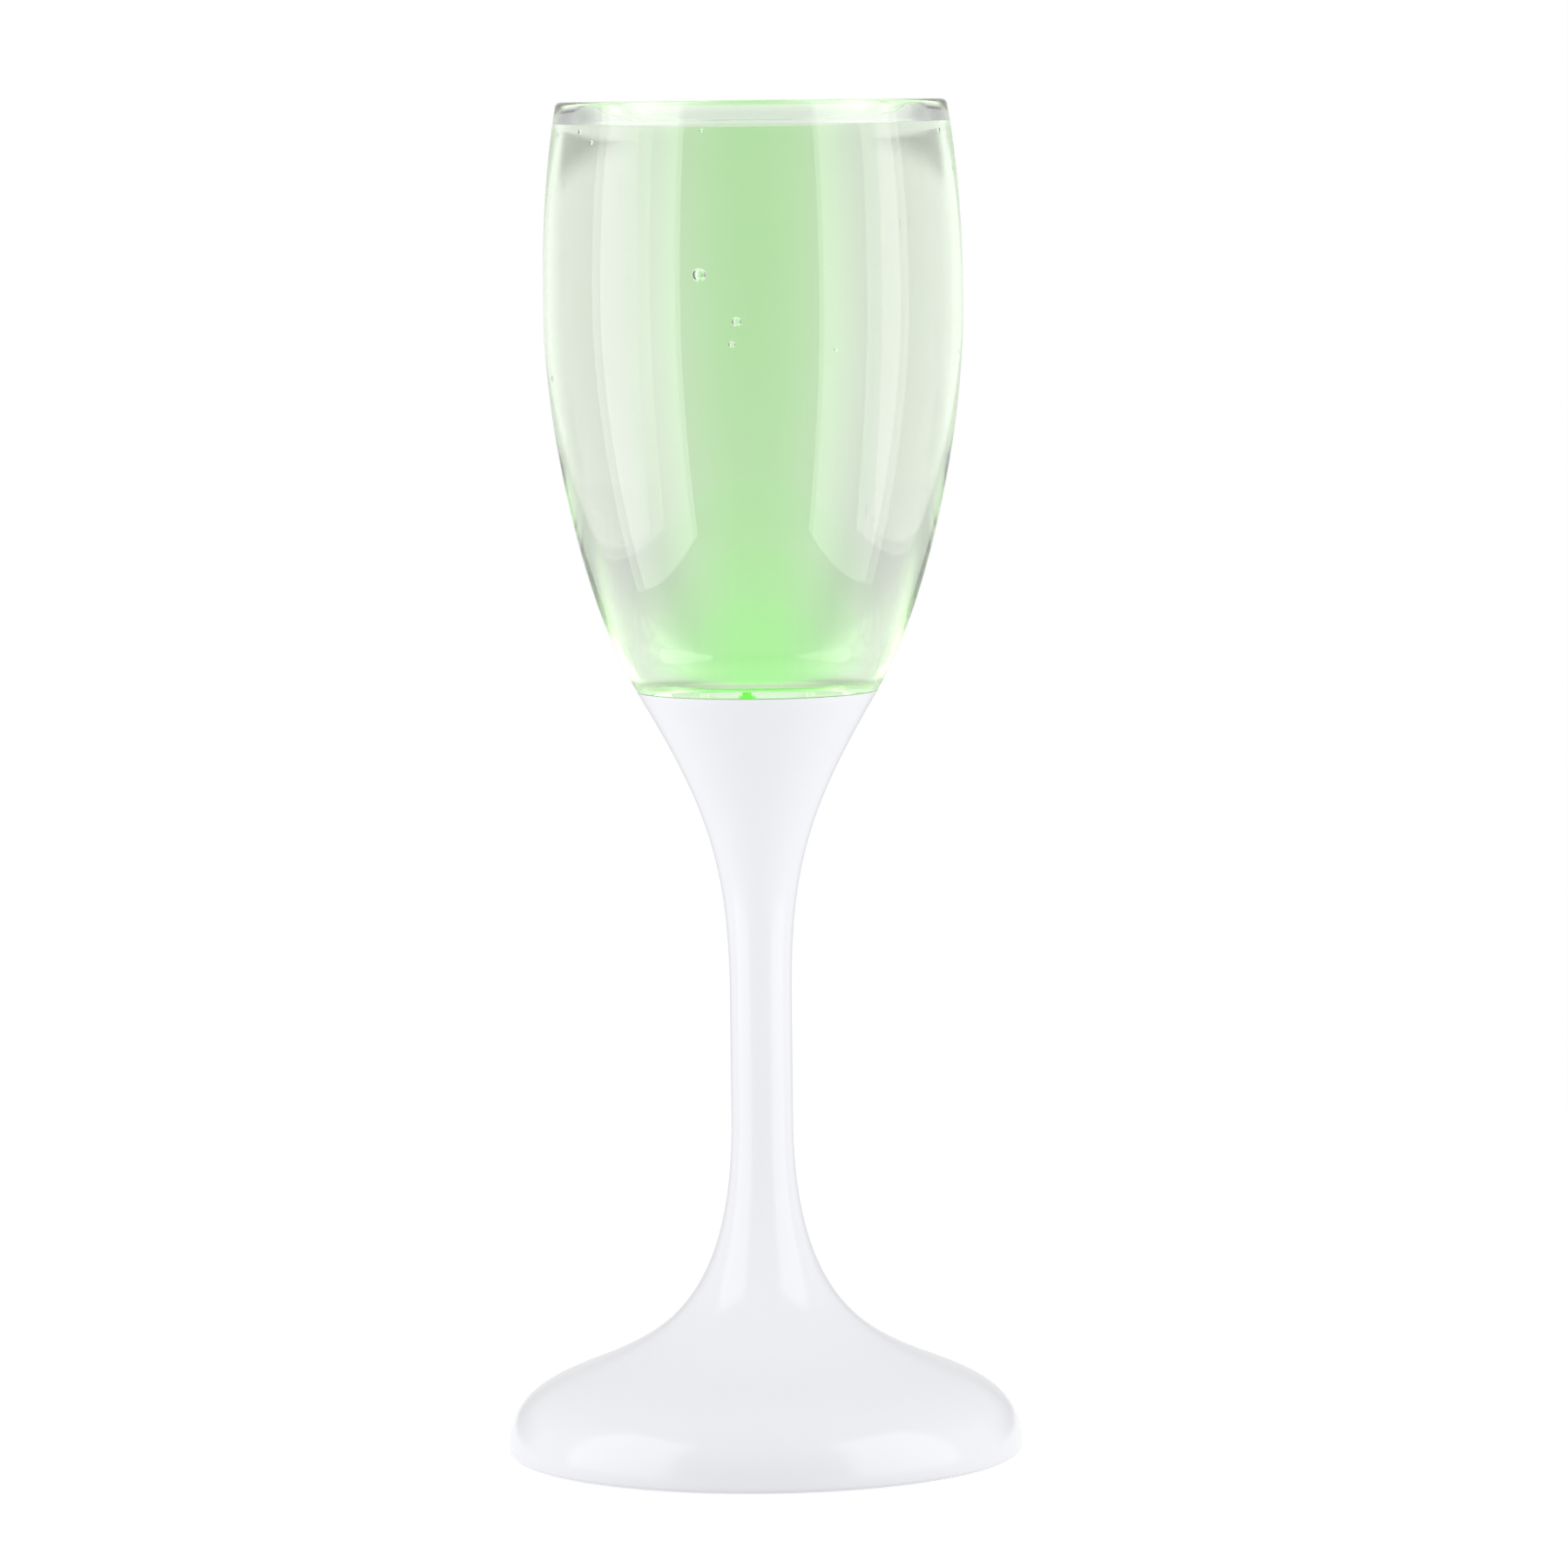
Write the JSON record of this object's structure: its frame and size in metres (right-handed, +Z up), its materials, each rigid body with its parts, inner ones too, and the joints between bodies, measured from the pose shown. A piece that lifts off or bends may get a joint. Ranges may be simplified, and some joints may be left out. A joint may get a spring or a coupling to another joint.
{
  "type": "light-up champagne flute",
  "caption": "Champagne flute with a clear bowl that screws into a white stem and domed foot, lit from below by a lamp that a push button under the foot switches.",
  "frame": {"origin": "middle of the face that the foot rests on", "axes": "+Z up along the stem, from the foot to the rim"},
  "size_m": [0.08, 0.08, 0.21],
  "materials": {
    "clear_bowl": "clear polished plastic",
    "clear_silicone": "translucent silicone",
    "white_shell": "smooth moulded white plastic",
    "reflector_white": "matt white plastic",
    "lamp_resin": "clear resin, lit green",
    "board_laminate": "green solder mask",
    "wire_black": "soft insulation",
    "wire_red": "soft insulation",
    "wire_green": "soft insulation",
    "wire_blue": "soft insulation",
    "tray_plastic": "matt moulded plastic",
    "cell_steel": "bright steel can",
    "contact_nickel": "nickel-plated strip",
    "screw_steel": "zinc-plated steel",
    "chip_black": "black moulding compound",
    "switch_black": "black moulded plastic",
    "button_plastic": "satin moulded plastic",
    "cover_plastic": "satin moulded plastic",
    "seal_grey": "soft rubber"
  },
  "bodies": {
    "stem": {"stem_shell": "white_shell", "led_reflector": "reflector_white", "led": "lamp_resin", "led_board": "board_laminate", "wire_common": "wire_black", "wire_red": "wire_red", "wire_green": "wire_green", "wire_blue": "wire_blue", "battery_tray": "tray_plastic", "cell_1": "cell_steel", "cell_2": "cell_steel", "cell_3": "cell_steel", "contact_positive": "contact_nickel", "link_bottom": "contact_nickel", "link_top": "contact_nickel", "contact_negative": "contact_nickel", "tray_screw_1": "screw_steel", "tray_screw_2": "screw_steel", "tray_screw_3": "screw_steel", "circuit_board": "board_laminate", "control_chip": "chip_black", "resistor_red": "chip_black", "resistor_green": "chip_black", "resistor_blue": "chip_black", "tact_switch": "switch_black", "base_cover": "cover_plastic", "base_seal": "seal_grey", "cover_screw_1": "screw_steel", "cover_screw_2": "screw_steel", "cover_screw_3": "screw_steel"},
    "seal": {"bowl_seal": "clear_silicone"},
    "bowl": {"bowl": "clear_bowl"},
    "button": {"push_button": "button_plastic", "tact_plunger": "switch_black"}
  },
  "joints": [
    {"name": "bowl_lift", "type": "slide", "parent": "stem", "child": "seal", "axis": [0, 0, 1], "range_m": [0, 0.006]},
    {"name": "bowl_twist", "type": "hinge", "parent": "seal", "child": "bowl", "pos_m": [0, 0, 0.1191], "axis": [0, 0, 1], "range_deg": [0, 720]},
    {"name": "button_press", "type": "slide", "parent": "stem", "child": "button", "axis": [0, 0, 1], "range_m": [0, 0.0006], "stiffness_N_per_m": 2500}
  ],
  "couplings": [
    {"joint": "bowl_lift", "follows": "bowl_twist", "m_per_rad": 0.00047746}
  ]
}
